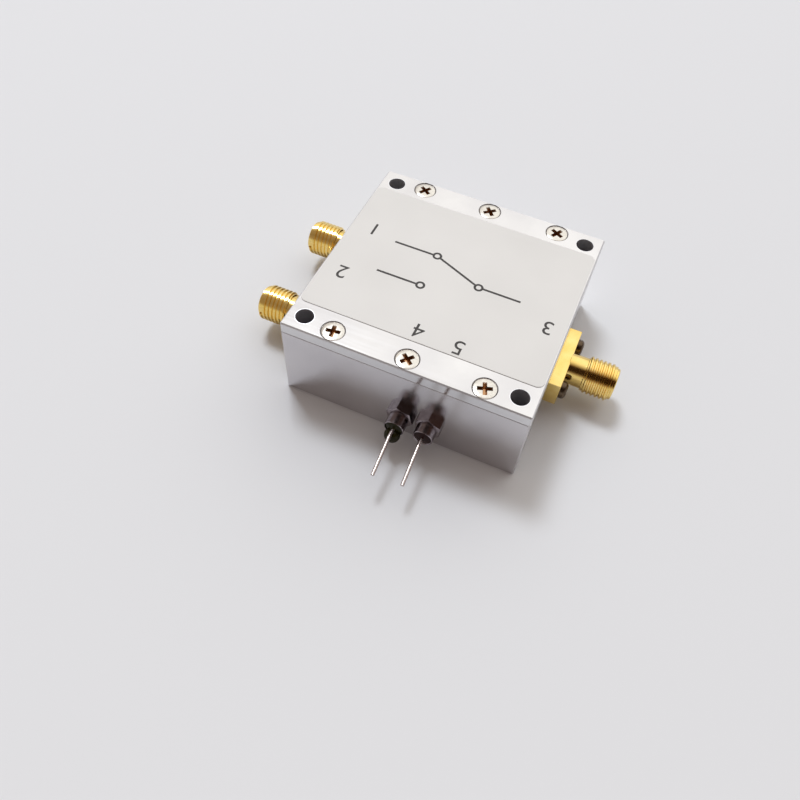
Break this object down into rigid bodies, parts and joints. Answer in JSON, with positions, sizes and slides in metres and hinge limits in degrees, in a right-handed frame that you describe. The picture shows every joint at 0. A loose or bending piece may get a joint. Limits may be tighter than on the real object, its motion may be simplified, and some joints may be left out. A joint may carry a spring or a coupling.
{
  "type": "coaxial antenna switch",
  "caption": "Solid-state coaxial antenna switch: a flat milled aluminium case with threaded coaxial connectors on two sides and feedthrough wires on a third.",
  "frame": {"origin": "centre of the four mounting holes, on the flat underside of the case", "axes": "+X out of the common connector, +Z out of the lid, -Y out of the wall that the two wires leave"},
  "size_m": [0.0598, 0.0518, 0.0161],
  "materials": {
    "case_aluminium": "milled, bright",
    "lid_aluminium": "milled, bright",
    "label_film": "matt printed film",
    "screw_steel": "nickel plated",
    "connector_gold": "gold plated",
    "flange_screw_steel": "nickel plated",
    "insulator_plastic": "machined fluoroplastic",
    "contact_gold": "gold plated",
    "bushing_metal": "tin plated",
    "tube_ceramic": "fired ceramic",
    "filler_resin": "cast resin",
    "wire_metal": "tinned copper",
    "board_laminate": "solder mask over glass laminate",
    "line_gold": "gold plated copper",
    "chip_plastic": "moulded epoxy",
    "leg_metal": "tin plated",
    "capacitor_ceramic": "fired ceramic",
    "resistor_ceramic": "glazed",
    "solder": "soldered"
  },
  "bodies": {
    "root": {"housing": "case_aluminium", "lid": "lid_aluminium", "label": "label_film", "lid_screws": "screw_steel", "common_connector": "connector_gold", "common_insulator": "insulator_plastic", "common_contact": "contact_gold", "common_flange_screws": "flange_screw_steel", "port_1_connector": "connector_gold", "port_1_insulator": "insulator_plastic", "port_1_contact": "contact_gold", "port_1_flange_screws": "flange_screw_steel", "port_2_connector": "connector_gold", "port_2_insulator": "insulator_plastic", "port_2_contact": "contact_gold", "port_2_flange_screws": "flange_screw_steel", "supply_bushing": "bushing_metal", "supply_capacitor_tube": "tube_ceramic", "supply_filler": "filler_resin", "supply_wire": "wire_metal", "control_bushing": "bushing_metal", "control_capacitor_tube": "tube_ceramic", "control_filler": "filler_resin", "control_wire": "wire_metal", "circuit_board": "board_laminate", "board_screws": "screw_steel", "signal_lines": "line_gold", "supply_lines": "line_gold", "switch_chip": "chip_plastic", "logic_chip": "chip_plastic", "logic_chip_legs": "leg_metal", "coupling_capacitors": "capacitor_ceramic", "bypass_capacitors": "capacitor_ceramic", "bias_resistors": "resistor_ceramic", "chip_ends": "leg_metal", "solder_joints": "solder"}
  },
  "joints": []
}
